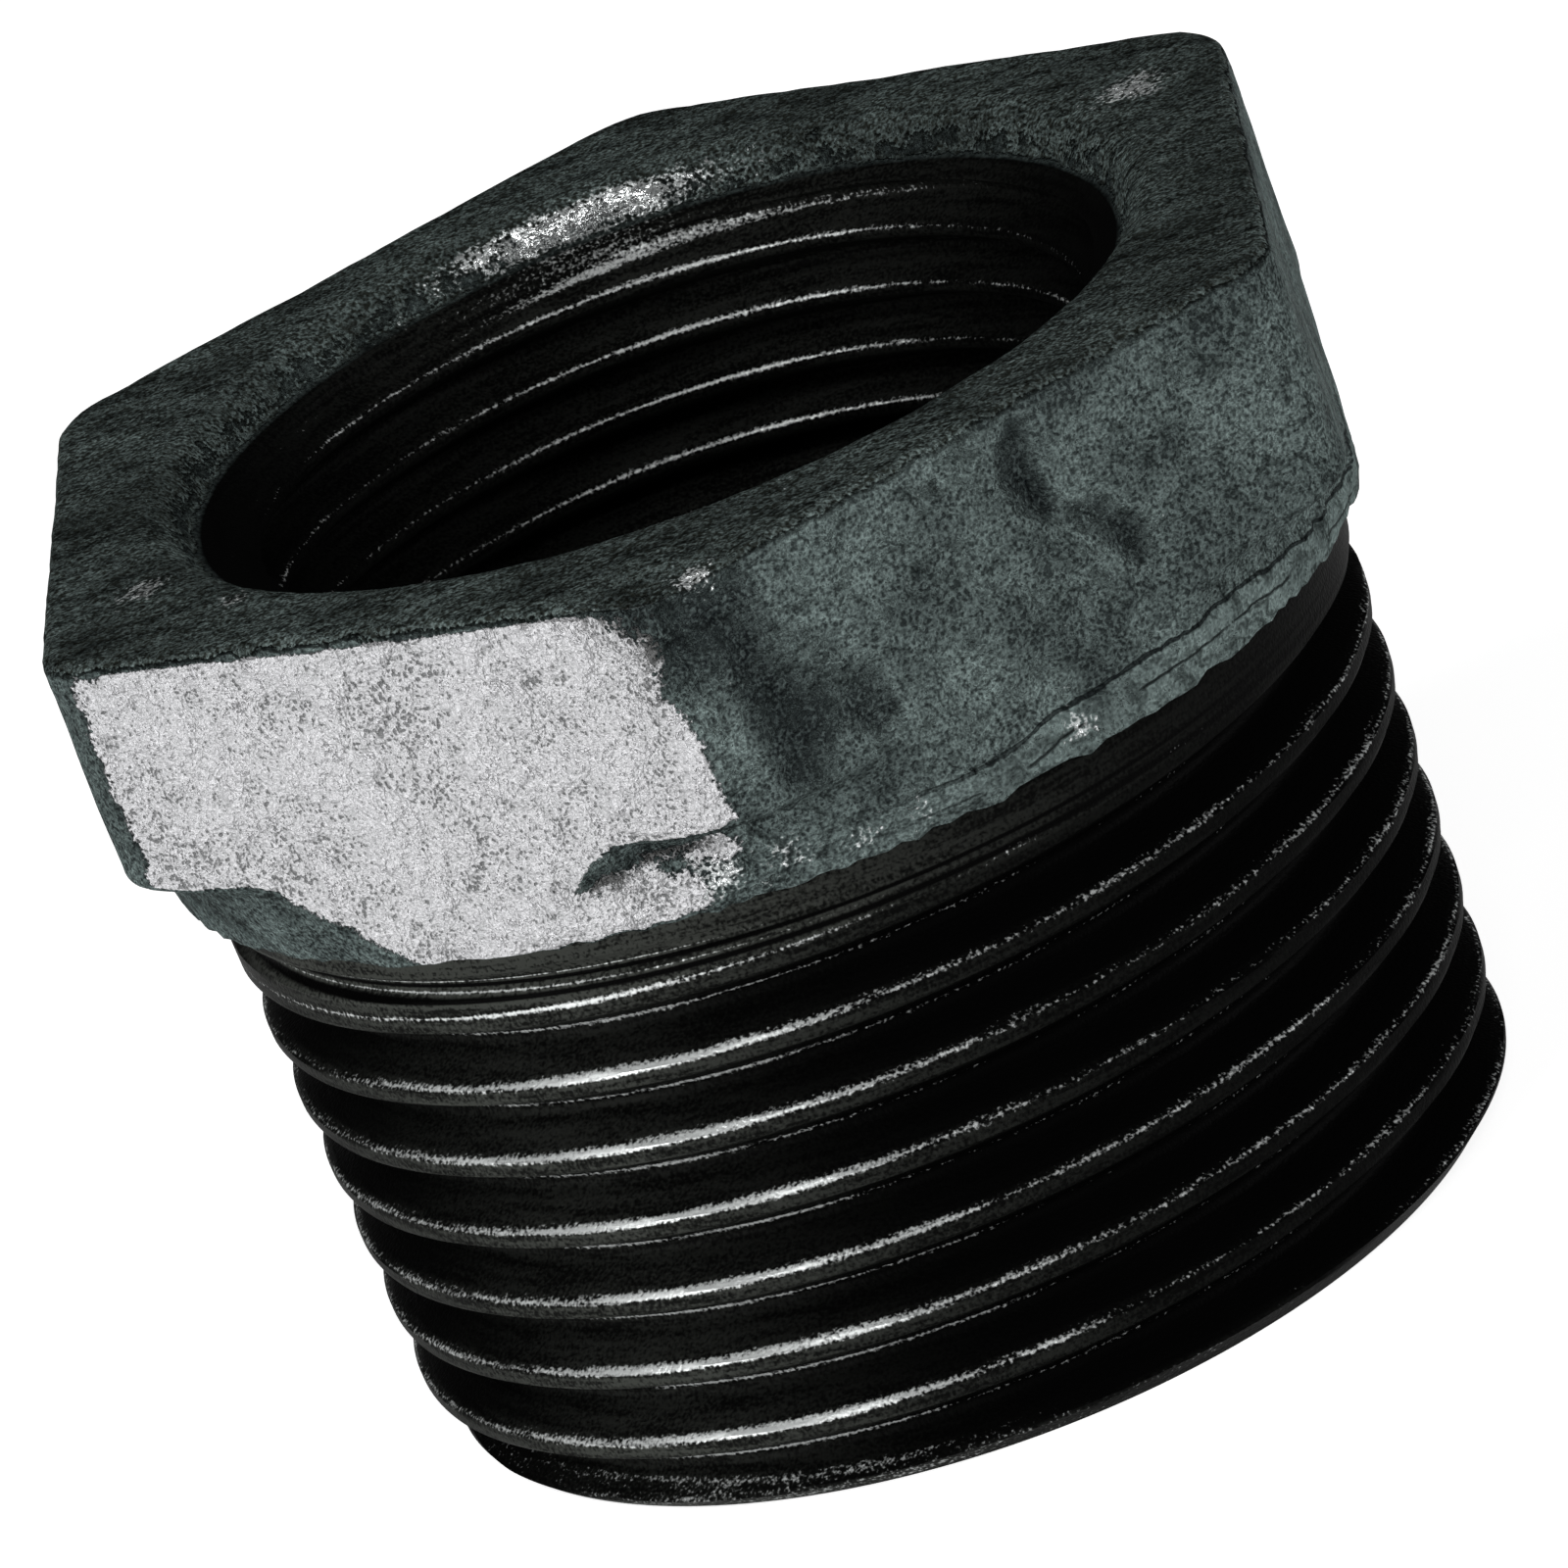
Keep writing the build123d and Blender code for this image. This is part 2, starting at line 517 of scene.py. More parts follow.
def fade(distance, reach):
    """1 at no distance, falling smoothly to nothing beyond the reach."""
    return math.exp(-((distance / reach) ** 2))


def toward(angle, middle, reach, least=0, most=1):
    """Least all round the bushing, rising smoothly to most at the middle angle."""
    return least + (most - least) * fade(math.remainder(angle - middle, FULL_TURN), reach)


def at(angle, radius, height):
    """Place on the bushing from degrees and millimetres."""
    turn = math.radians(angle)
    return Vector((math.cos(turn) * radius, math.sin(turn) * radius, height)) * MM


def angle_of(place):
    """Angle of a place round from the X axis."""
    return math.atan2(place.y, place.x)


def ripple(angle, crowding, seed):
    """Unevenness round the bushing from 0 to 1, the same at both ends of a full turn."""
    place = Vector((math.cos(angle) * crowding, math.sin(angle) * crowding, seed))
    return clamped(0.5 + noise.fractal(place, 0.7, 2.0, 3))


def whitworth_depth(offset):
    """Depth below the crest, in pitches, at an offset in pitches from the middle of a groove."""
    from_root = abs(offset)
    from_crest = 0.5 - from_root
    if from_crest < ARC_REACH:
        return ARC_RADIUS - math.sqrt(ARC_RADIUS**2 - from_crest**2)
    if from_root < ARC_REACH:
        return THREAD_DEPTH - ARC_RADIUS + math.sqrt(ARC_RADIUS**2 - from_root**2)
    return ARC_RISE + (from_crest - ARC_REACH) / math.tan(FLANK_ANGLE)


def groove_offset(height, angle, pitch, start_angle):
    """Distance, in pitches, from the nearest middle of a right-handed groove."""
    turns = height / pitch - (angle - start_angle) / FULL_TURN
    return (turns + 0.5) % 1 - 0.5


class Form:
    """Where the bushing's surfaces are, worked out once from its sizes."""

    def __init__(self, sizes):
        self.top = sizes.total_height
        self.apothem = sizes.across_flats / 2
        hex_bottom = self.top - sizes.hex_height
        self.collar_bottom = hex_bottom - sizes.collar_height
        self.collar_radius = sizes.collar_radius
        self.collar_slope = math.tan(sizes.collar_draft)
        self.collar_top_radius = sizes.collar_radius + sizes.collar_height * self.collar_slope
        self.underside_slope = math.tan(sizes.underside_slope)
        self.pitch = sizes.male_pitch
        self.end_radius = sizes.male_end_radius
        self.taper = sizes.male_taper
        self.groove_angle = sizes.male_groove_angle
        self.groove_end = sizes.male_groove_end
        self.chamfer = sizes.male_chamfer
        self.bore_pitch = sizes.female_pitch
        self.bore_radius = sizes.female_crest_radius
        self.bore_groove_angle = sizes.female_groove_angle
        self.bore_chamfer_radius = sizes.female_chamfer_radius
        self.flare_radius = sizes.flare_radius
        self.flare_bottom = self.top - sizes.flare_depth
        self.countersink_radius = sizes.countersink_radius
        self.countersink_slope = math.tan(sizes.countersink_angle)
        countersink_depth = (self.countersink_radius - self.bore_radius) / self.countersink_slope
        self.countersink_bottom = self.flare_bottom - countersink_depth

    def hexagon_radius(self, angle):
        """Distance from the axis to the hexagon's outline, with its corners rounded."""
        corner = round(angle / SIXTH_TURN)
        from_corner = abs(angle - corner * SIXTH_TURN)
        corner_radius = CORNER_RADII[corner % 6]
        centre = (self.apothem - corner_radius) / math.cos(SIXTH_TURN / 2)
        tangent_angle = math.atan2(
            corner_radius * math.sin(SIXTH_TURN / 2),
            centre + corner_radius * math.cos(SIXTH_TURN / 2),
        )
        if from_corner > tangent_angle:
            return self.apothem / math.cos(SIXTH_TURN / 2 - from_corner)
        across = centre * math.sin(from_corner)
        return centre * math.cos(from_corner) + math.sqrt(corner_radius**2 - across**2)

    def cast_corners(self, angle):
        """Corners (radius, height) of the cast section, from the flare's foot to the thread."""
        torn = ripple(angle, crowding=9, seed=4) * FLARE_TEAR
        nibbled = ripple(angle, crowding=32, seed=11) * COLLAR_TEAR
        radius = self.hexagon_radius(angle)
        shoulder_radius = min(radius, self.collar_top_radius)
        shoulder = self.collar_bottom + (shoulder_radius - self.collar_radius) / self.collar_slope
        shoulder = max(shoulder, self.collar_bottom + COLLAR_LEAST)
        edge = shoulder + (radius - shoulder_radius) * self.underside_slope
        return [
            Vector((self.countersink_radius + torn * self.countersink_slope, self.flare_bottom + torn)),
            Vector((self.flare_radius, self.top)),
            Vector((radius, self.top)),
            Vector((radius, max(edge, shoulder + UNDERSIDE_LEAST))),
            Vector((shoulder_radius, shoulder)),
            Vector((min(radius, self.collar_radius), self.collar_bottom + nibbled)),
            Vector((self.male_wall(self.collar_bottom, angle), self.collar_bottom)),
        ]

    def cast_point(self, angle, stretch, share):
        """Point (radius, height) on the cast section, with the nearest corner rounded off."""
        corners = self.cast_corners(angle)
        start, end = corners[stretch], corners[stretch + 1]
        along = (end - start).normalized()
        length = (end - start).length
        travelled = length * (share - STRETCH_CROWDING * math.sin(FULL_TURN * share))
        point = start + along * travelled
        if stretch > 0:
            before = (start - corners[stretch - 1]).normalized()
            reach = CAST_SOFTNESS[stretch - 1]
            if travelled < reach:
                point += (along - before) * (reach - travelled) ** 2 / (4 * reach)
        if stretch < len(CAST_SOFTNESS):
            after = (corners[stretch + 2] - end).normalized()
            reach = CAST_SOFTNESS[stretch]
            if length - travelled < reach:
                point += (after - along) * (reach - length + travelled) ** 2 / (4 * reach)
        return point

    def male_depth(self, height, angle):
        """Depth of the outer groove below the crests, running out at its upper end."""
        offset = groove_offset(height, angle, self.pitch, self.groove_angle)
        middle = height - offset * self.pitch
        lift = THREAD_DEPTH * clamped((middle - self.groove_end) / self.pitch + 1)
        return max(whitworth_depth(offset) - CREST_WEAR - lift, 0) * self.pitch

    def male_wall(self, height, angle):
        """Radius of the outer thread's surface."""
        crest = self.end_radius + height * self.taper
        chamfered = self.end_radius - self.chamfer + height
        return min(crest - self.male_depth(height, angle), chamfered)

    def bore_wall(self, height, angle):
        """Radius of the inner thread's surface, opened by the countersink and the chamfer."""
        offset = groove_offset(height, angle, self.bore_pitch, self.bore_groove_angle)
        threaded = self.bore_radius + whitworth_depth(offset) * self.bore_pitch
        countersunk = self.countersink_radius - (self.flare_bottom - height) * self.countersink_slope
        chamfered = self.bore_chamfer_radius - height
        wall = max(threaded, countersunk, chamfered)
        from_burrs = abs(self.flare_bottom - BURR_DEPTH - height)
        if from_burrs < BURR_REACH:
            wall += ripple(angle, crowding=16, seed=23) ** 2 * BURR_SIZE * (BURR_REACH - from_burrs)
        return wall

    def point(self, row, angle):
        """Point (radius, height) where a row of the section crosses an angle."""
        part, place, share = row
        if part == "cast":
            return self.cast_point(angle, place, share)
        if part == "male":
            return Vector((self.male_wall(place, angle), place))
        if part == "bore":
            return Vector((self.bore_wall(place, angle), place))
        outer = self.male_wall(0, angle)
        return Vector((outer + (self.bore_chamfer_radius - outer) * share, 0))

    def rows(self, male_rows, female_rows):
        """The section's rows in order: up the flare, out, down the outside and up the bore."""
        rows = []
        for stretch, count in enumerate(CAST_ROWS):
            rows += [("cast", stretch, step / count) for step in range(count)]
        count = round(self.collar_bottom / self.pitch * male_rows)
        rows += [("male", self.collar_bottom * (1 - step / count), 0) for step in range(count)]
        rows += [("end", 0, step / END_ROWS) for step in range(END_ROWS)]
        count = round(self.flare_bottom / self.bore_pitch * female_rows)
        for step in range(count):
            share = step / count
            share += BORE_CROWDING * math.sin(math.pi * share)
            rows.append(("bore", self.flare_bottom * share, 0))
        return rows

    def polish_and_highlight(self, part, height, angle):
        """How strongly painted highlights show on the countersink, its rim and the end chamfer, brightest
        towards given angles, with an even polish on the end face.
        """
        if part == "bore" and height > self.countersink_bottom:
            from_lip = height - (self.flare_bottom - LIP_DEPTH)
            lip = fade(from_lip, LIP_WIDTH) * toward(angle, LIP_SHINE, reach=0.45, most=0.6)
            return toward(angle, FLARE_SHINE, reach=0.32, least=0.15, most=0.75) + lip
        if part == "male" and height < self.chamfer:
            return toward(angle, THREAD_SHINE, reach=0.7, least=0.2, most=0.65)
        return 0.2 if part == "end" else 0

    def outer_highlight(self, part, height, angle):
        """How strongly the painted highlight lines on the outer thread's crests show, brightest towards
        THREAD_SHINE and less where it runs out.
        """
        if part != "male" or height < self.chamfer:
            return 0
        run_out = clamped(2 * max((self.groove_end - height) / self.pitch - 0.2, 0))
        return toward(angle, THREAD_SHINE, reach=0.42, least=0.46) * run_out

    def inner_highlight(self, part, height, angle):
        """How strongly the painted highlight lines on the inner thread's crests show, brightest towards
        BORE_SHINE.
        """
        if part != "bore" or height > self.countersink_bottom:
            return 0
        return toward(angle, BORE_SHINE, reach=0.5, least=0.45)

    def lit_grey(self, part, height, angle):
        """How much lighter grey is painted on the oiled threads, towards the lit side."""
        if part == "bore":
            return toward(angle, BORE_SHINE, reach=0.9, most=0.25)
        share = toward(angle, LIT_SIDE, reach=0.7, least=0.04)
        if height > self.groove_end - BAND_DROP:
            return share * BAND_LIT
        depth = self.male_depth(height, angle) / (THREAD_DEPTH * self.pitch)
        return share**4 * GROOVE_LIT + share * CREST_LIT * fade(depth, CREST_SHARE)

    def machined_marks(self, row, angle):
        """What the material is told about a machined place."""
        part, height, _ = row
        return {
            "machined": 1,
            "polish_and_highlight": self.polish_and_highlight(part, height, angle),
            "outer_highlight": self.outer_highlight(part, height, angle),
            "inner_highlight": self.inner_highlight(part, height, angle),
            "lit_grey": self.lit_grey(part, height, angle),
        }


def sand_depth(place):
    """Depth of the sand casting's unevenness at a place, never less than nothing."""
    broad = noise.fractal(place * BROAD_SAND, 0.8, 2.0, 3)
    fine = noise.fractal(place * FINE_SAND + FINE_SAND_SHIFT, 0.7, 2.0, 3)
    return SAND_DEPTH * (max(SAND_LEVEL + broad, 0) + max(SAND_LEVEL + fine, 0))


def sunk_depth(place):
    """Depth of the mould's low places, which have uneven outlines."""
    moved = place + noise.noise_vector(place * WARP_SCALE) * WARP
    return MM * sum(
        deep * fade((moved - at(angle, radius, height)).length, reach * MM)
        for angle, radius, height, reach, deep in HOLLOWS
    )


def above_joint(place):
    """Height of a place above the joint line."""
    wander = ripple(angle_of(place), crowding=2, seed=31) - 0.5
    return place.z - JOINT_HEIGHT - wander * JOINT_WANDER


def joint_share(place):
    """How clearly the joint line shows at a place."""
    away = abs(math.remainder(angle_of(place) - JOINT_MIDDLE, FULL_TURN))
    return clamped((JOINT_REACH - away) / JOINT_END)


def joint_step(place):
    """Depth by which the casting stands back above the joint line, where the line shows."""
    above = above_joint(place)
    return JOINT_STEP * fade(above, JOINT_STEP_REACH) * joint_share(place) if above > 0 else 0


def unlit_share(place):
    """How much of the foot of the flat is left without its painted highlight: all of it left of the slanting
    edge.
    """
    left = (EDGE_ANGLE - math.degrees(angle_of(place))) / EDGE_RUN
    left -= (place.z - EDGE_HEIGHT) / EDGE_RISE
    return clamped(min(left * 2, (EDGE_TOP - place.z) / EDGE_TOP_FADE))


def rubbed_share(place):
    """How much the casting shines at a place."""
    rim = fade(math.hypot(place.x, place.y) - RIM_RADIUS, RIM_WIDTH)
    return rim * toward(angle_of(place), FLARE_SHINE, reach=0.36, most=0.92) + sum(
        strength * fade((place - at(angle, radius, height)).length, reach * MM)
        for angle, radius, height, reach, strength in RUBS
    )


def cast_marks(place, normal, sink):
    """What the material is told about a place on the casting."""
    return {
        "sunk": sink / MM,
        "level": max(normal.z, 0),
        "rubbed": rubbed_share(place),
        "joint": clamped(JOINT_MARK - above_joint(place) / JOINT_SPAN),
        "joint_seen": joint_share(place),
    }


def spin_section(shape, form, rows, columns):
    """Spins the closed section round the axis. Gives the layer that keeps each corner's row."""
    row_of = shape.verts.layers.int.new("row")
    section = []
    for index, row in enumerate(rows):
        radius, height = form.point(row, 0)
        corner = shape.verts.new((radius, 0, height))
        corner[row_of] = index
        section.append(corner)
    lines = [shape.edges.new(pair) for pair in zip(section, section[1:] + section[:1])]
    bmesh.ops.spin(
        shape,
        geom=section + lines,
        cent=(0, 0, 0),
        axis=(0, 0, 1),
        angle=FULL_TURN,
        steps=columns,
        use_merge=True,
    )
    return row_of


def roughen_casting(cast, marks):
    """Sinks the casting's surface as the mould left it, and marks it for the material."""
    for corner in cast:
        sink = sunk_depth(corner.co)
        depth = sand_depth(corner.co) + sink + joint_step(corner.co)
        for name, mark in cast_marks(corner.co, corner.normal, sink).items():
            corner[marks[name]] = mark
        corner.co -= corner.normal * depth


def model_bushing(sizes):
    """Mesh of the whole bushing: its section is spun round the axis, then cut into shape."""
    noise.seed_set(WARP_SEED)
    form = Form(sizes)
    rows = form.rows(sizes.male_rows, sizes.female_rows)
    shape = bmesh.new()
    row_of = spin_section(shape, form, rows, sizes.columns)
    marks = {name: shape.verts.layers.float.new(name) for name in MARKS}
    cast = []
    for corner in shape.verts:
        angle = angle_of(corner.co)
        angle -= COLUMN_CROWDING * math.sin(6 * angle) / 6
        row = rows[corner[row_of]]
        radius, height = form.point(row, angle)
        corner.co = (radius * math.cos(angle), radius * math.sin(angle), height)
        if row[0] == "cast":
            cast.append(corner)
            continue
        for name, mark in form.machined_marks(row, angle).items():
            corner[marks[name]] = mark
    bmesh.ops.recalc_face_normals(shape, faces=shape.faces)
    shape.normal_update()
    roughen_casting(cast, marks)
    shape.normal_update()
    for corner in cast:
        # Painted highlight: the flat turned towards the key lamp is marked for a pale colour, but not at its
        # foot
        highlit_share = clamped((corner.normal.dot(HIGHLIT_SIDE) - HIGHLIT_LEAST) / HIGHLIT_FADE)
        corner[marks["highlit"]] = highlit_share * (1 - unlit_share(corner.co))
    for edge in shape.edges:
        edge.smooth = edge.calc_face_angle(0) < SHARP_EDGE
    for face in shape.faces:
        face.smooth = True
    mesh = bpy.data.meshes.new("bushing_body")
    shape.to_mesh(mesh)
    shape.free()
    return mesh


class Value:
    """Number or colour that a node gives, for use in arithmetic."""

    def __init__(self, sketch, socket):
        self.sketch = sketch
        self.socket = socket

    def __add__(self, other):
        return self.sketch.math("ADD", self, other)

    def __sub__(self, other):
        return self.sketch.math("SUBTRACT", self, other)

    def __rsub__(self, other):
        return self.sketch.math("SUBTRACT", other, self)

    def __mul__(self, other):
        return self.sketch.math("MULTIPLY", self, other)

    def __truediv__(self, other):
        return self.sketch.math("DIVIDE", self, other)

    __radd__ = __add__
    __rmul__ = __mul__

    def at_least(self, other):
        """The larger of the two."""
        return self.sketch.math("MAXIMUM", self, other)

    def fraction(self):
        """What is left over a whole number."""
        return self.sketch.math("FRACT", self)

    def near(self, middle, reach):
        """1 at the middle, falling evenly to 0 at the reach on both sides."""
        away = self.sketch.math("ABSOLUTE", self - middle)
        return (1 - away / reach).at_least(0)

    def rise(self, low, high):
        """Smooth step from 0 at low to 1 at high."""
        settings = {"interpolation_type": "SMOOTHSTEP"}
        inputs = {"Value": self, "From Min": low, "From Max": high}
        return self.sketch.node("ShaderNodeMapRange", settings, inputs)[0]


class Sketch:
    """Nodes of one material or world."""

    def __init__(self, tree):
        self.tree = tree
        tree.nodes.clear()

    def node(self, kind, settings=None, inputs=None):
        """Adds a node, sets it up and fills its sockets. Gives its outputs in order."""
        node = self.tree.nodes.new(kind)
        for name, setting in (settings or {}).items():
            setattr(node, name, setting)
        for name, given in (inputs or {}).items():
            if isinstance(given, Value):
                self.tree.links.new(given.socket, node.inputs[name])
            else:
                node.inputs[name].default_value = given
        return [Value(self, socket) for socket in node.outputs]

    def math(self, operation, *numbers):
        """Result of one sum."""
        return self.node("ShaderNodeMath", {"operation": operation}, dict(enumerate(numbers)))[0]

    def blend(self, share, first, second):
        """Mixes two colours, by a number."""
        inputs = {0: share, 6: first, 7: second}
        return self.node("ShaderNodeMix", {"data_type": "RGBA"}, inputs)[2]

    def speckle(self, place, scale, detail, roughness):
        """Fractal noise at a place, from 0 to 1."""
        inputs = {"Vector": place, "Scale": scale, "Detail": detail, "Roughness": roughness}
        return self.node("ShaderNodeTexNoise", None, inputs)[0]

    def mark(self, name):
        """Number that the mesh carries."""
        return self.node("ShaderNodeAttribute", {"attribute_name": name})[2]


def opaque(colour):
    """The colour with full alpha."""
    return (*colour, 1)


class IronNoise:
    """Noise that the iron's finishes share, from the coarsest to the finest, and turning marks."""

    def __init__(self, sketch, place):
        self.patches = sketch.speckle(place, scale=330, detail=3, roughness=0.55)
        self.mottle = sketch.speckle(place, scale=1500, detail=2, roughness=0.5)
        self.pits = sketch.speckle(place, scale=6200, detail=1, roughness=0.5)
        self.grain = sketch.speckle(place, scale=9000, detail=1, roughness=0.5)
        around = sketch.node("ShaderNodeMapping", None, {"Vector": place, "Scale": (260, 260, 5200)})[0]
        self.streaks = sketch.speckle(around, scale=1, detail=3, roughness=0.6)


def cast_surface(sketch, finish, spots):
    """Colour, roughness, metal share and relief of the cast skin, with painted shade in its creases, in its
    hollows and on its upper faces, and of the flat with its painted highlight.
    """
    patches, mottle, pits, grain = spots.patches, spots.mottle, spots.pits, spots.grain
    sunk = sketch.mark("sunk")
    # Mask of the creases and hollows that take painted shade
    crease = sunk * 3.2 + (mottle - 0.5) * 3.0 + (pits - 0.5) * 2.8 + (grain - 0.5) * 2.0
    crease = crease.rise(0.72, 0.96)
    joint = sketch.mark("joint") + (mottle - 0.5) * 0.12
    joint_seen = sketch.mark("joint_seen")
    lip = joint.rise(JOINT_MARK + 0.01, JOINT_MARK + 0.07) * joint_seen
    seam = joint.near(JOINT_MARK, 0.035).rise(0, 0.6)
    seam = (seam + joint.near(SECOND_MARK, 0.03) * patches.rise(0.48, 0.54)) * joint_seen

    shade = (patches * 1.2 + mottle * 0.8).rise(0.55, 1.4)
    speck = (grain * 1.1 + pits * 0.7).rise(0.6, 1.25)
    speck = speck * (1 - lip * 0.3) + lip * 0.34
    tone = (0.24 + shade * 0.76) * (0.16 + speck * 0.84) * (1 - seam * 0.85)
    # Painted shade in creases and deep hollows, and a painted highlight round the hollows' rims
    tone = tone * (1 - crease * (0.95 - speck * 0.6))
    tone = tone * (1 + sunk.near(0.10, 0.08) * 0.45) * (1 - sunk.rise(0.12, 0.4) * 0.3)
    skin = sketch.blend(tone, opaque(finish.skin_dark), opaque(finish.skin_light))
    # Painted shade: the cast skin is darkened where it faces up
    top_shade = (sketch.mark("level") + (mottle - 0.5) * 1.2 + (grain - 0.5) * 0.5).rise(0.25, 0.6)
    skin = sketch.blend(top_shade * (0.92 - speck * 0.74), skin, opaque(finish.painted_shade))
    shining = (sketch.mark("rubbed") + grain * 0.9 + pits * 1.1 + mottle * 0.7).rise(1.8, 2.25)
    skin = sketch.blend(shining, skin, opaque(finish.scuff))

    # Painted highlight on the flat turned towards the key lamp, dimmer in its low grain, with dark pits
    highlit_share = sketch.mark("highlit") - crease * 0.4 + (mottle - 0.5) * 1.1 + (grain - 0.5) * 0.8
    highlit_share = highlit_share.rise(0.4, 0.56)
    highlight_grain = (grain * 0.9 + pits * 0.5 + mottle * 0.6 + patches * 0.4).rise(0.82, 1.42)
    pitted = grain * 0.5 + pits * 0.5 + (patches - 0.5) * 0.5 + (mottle - 0.5) * 0.3
    pitted = pitted.rise(0.31, 0.4)
    # Painted shade in the flat's dents
    dented = (sunk * 3.4 + (mottle - 0.5) * 1.4 + (grain - 0.5) * 1.2).rise(0.5, 1.0)
    flat = sketch.blend(highlight_grain, opaque(finish.highlight_grain), opaque(finish.highlit))
    flat = sketch.blend(pitted * 0.55 + 0.45, opaque(finish.skin_dark), flat)
    flat = sketch.blend(dented * 0.85, flat, opaque(finish.painted_shade))

    colour = sketch.blend(highlit_share, skin, flat)
    roughness = 0.66 - shining * 0.4 - highlit_share * 0.1
    metallic = shining * 0.9 + highlit_share * 0.3
    relief = grain * 1.5 * (1 - lip * 0.6) + (mottle * 9.0 + patches * 26.0) * (1 - highlit_share * 0.5)
    relief = relief + pitted * 0.4
    relief = relief * (1 - top_shade * 0.5) - seam * 1.4 + lip * 0.8 - crease * 3.0
    return colour, roughness, metallic, relief


def machined_surface(sketch, finish, sizes, place, spots):
    """Colour, roughness, metal share and relief of the oiled threads, with painted highlight lines on their
    crests and lighter grey painted towards the lit side.
    """
    along, across, height = sketch.node("ShaderNodeSeparateXYZ", None, {"Vector": place})
    turns = sketch.math("ARCTAN2", across, along) / FULL_TURN
    outer = (height / sizes.male_pitch - turns + sizes.male_groove_angle / FULL_TURN).fraction()
    inner = (height / sizes.female_pitch - turns + sizes.female_groove_angle / FULL_TURN).fraction()
    # Painted highlight lines along the crests' upper shoulders and by the roots
    outer_lines = outer.near(*OUTER_CREST_LINE) + outer.near(*OUTER_ROOT_LINE) * 0.72
    inner_lines = inner.near(*INNER_CREST_LINE)
    lit_grey = sketch.mark("lit_grey")
    # Painted highlight rings on the lit side of the plain band
    ring_highlight = sum(height.near(*ring) for ring in HIGHLIGHT_RINGS)
    bright = sketch.mark("outer_highlight") * outer_lines * 1.5
    bright = bright + sketch.mark("inner_highlight") * inner_lines * 1.35
    bright = bright + sketch.mark("polish_and_highlight") * 0.95 + ring_highlight * lit_grey * 0.95
    # Painted highlight: where the lines, rings and polish show, the oiled colour gives way to a pale
    # half-metal one
    highlight_share = (bright + (spots.streaks - 0.5) * 1.2 + (spots.grain - 0.5) * 1.4).rise(0.6, 1.35)

    sunken = sum(height.near(*ring) for ring in DARK_RINGS).rise(0.1, 0.7)
    # Painted light: the oiled thread turns grey towards the lit side
    grey = 0.15 + (spots.streaks * 0.8 + spots.grain * 0.8).rise(0.6, 1.0) * 1.35
    grey = grey * lit_grey * (1 - sunken)
    oily = sketch.blend(grey, opaque(finish.oiled), opaque(finish.flank))
    colour = sketch.blend(highlight_share, oily, opaque(finish.crest))
    roughness = 0.5 - highlight_share * 0.14
    metallic = highlight_share * 0.5
    relief = spots.streaks * 0.12 + spots.grain * 0.16
    return colour, roughness, metallic, relief


def iron_material(finish, sizes):
    """Black cast skin, a flat with a painted highlight and oiled threads, told apart by what the mesh
    carries.
    """
    material = bpy.data.materials.new("iron")
    material.use_nodes = True
    sketch = Sketch(material.node_tree)
    place = sketch.node("ShaderNodeTexCoord")[3]
    spots = IronNoise(sketch, place)
    skin, skin_roughness, skin_metallic, skin_relief = cast_surface(sketch, finish, spots)
    thread, thread_roughness, thread_metallic, thread_relief = machined_surface(
        sketch, finish, sizes, place, spots
    )
    machined = sketch.mark("machined")
    cast = 1 - machined
    relief = cast * skin_relief + machined * thread_relief
    bump = {"Height": relief, "Distance": 0.14 * MM, "Strength": 1.0}
    surface = sketch.node(
        "ShaderNodeBsdfPrincipled",
        None,
        {
            "Base Color": sketch.blend(machined, skin, thread),
            "Roughness": cast * skin_roughness + machined * thread_roughness,
            "Metallic": cast * skin_metallic + machined * thread_metallic,
            "Normal": sketch.node("ShaderNodeBump", None, bump)[0],
            "Specular IOR Level": 0.01,
        },
    )[0]
    sketch.node("ShaderNodeOutputMaterial", None, {"Surface": surface})
    return material


def floor_material(colour, glow):
    """Pale floor that the camera and reflections see as white outside the shadow."""
    material = bpy.data.materials.new("floor")
    material.use_nodes = True
    sketch = Sketch(material.node_tree)
    path = sketch.node("ShaderNodeLightPath")
    camera, glossy, transmission = path[0], path[3], path[6]
    seen = camera.at_least(glossy).at_least(transmission)
    surface = sketch.node(
        "ShaderNodeBsdfPrincipled",
        None,
        {
            "Base Color": opaque(colour),
            "Roughness": 0.9,
            "Specular IOR Level": 0.0,
            "Emission Color": (1, 1, 1, 1),
            "Emission Strength": seen * glow,
        },
    )[0]
    sketch.node("ShaderNodeOutputMaterial", None, {"Surface": surface})
    return material


def even_light(strength):
    """World that lights everything a little from all sides."""
    world = bpy.data.worlds.new("studio")
    world.use_nodes = True
    sketch = Sketch(world.node_tree)
    light = sketch.node("ShaderNodeBackground", None, {"Color": (1, 1, 1, 1), "Strength": strength})[0]
    sketch.node("ShaderNodeOutputWorld", None, {"Surface": light})
    return world


def add_object(name, data):
    """Object of that name and data, in the scene."""
    thing = bpy.data.objects.new(name, data)
    bpy.context.scene.collection.objects.link(thing)
    return thing


def facing_away(azimuth, elevation):
    """Turn that points an object's Z axis out from the bushing in a direction."""
    turn = Matrix.Rotation(azimuth + FULL_TURN / 4, 4, "Z")
    return turn @ Matrix.Rotation(FULL_TURN / 4 - elevation, 4, "X")


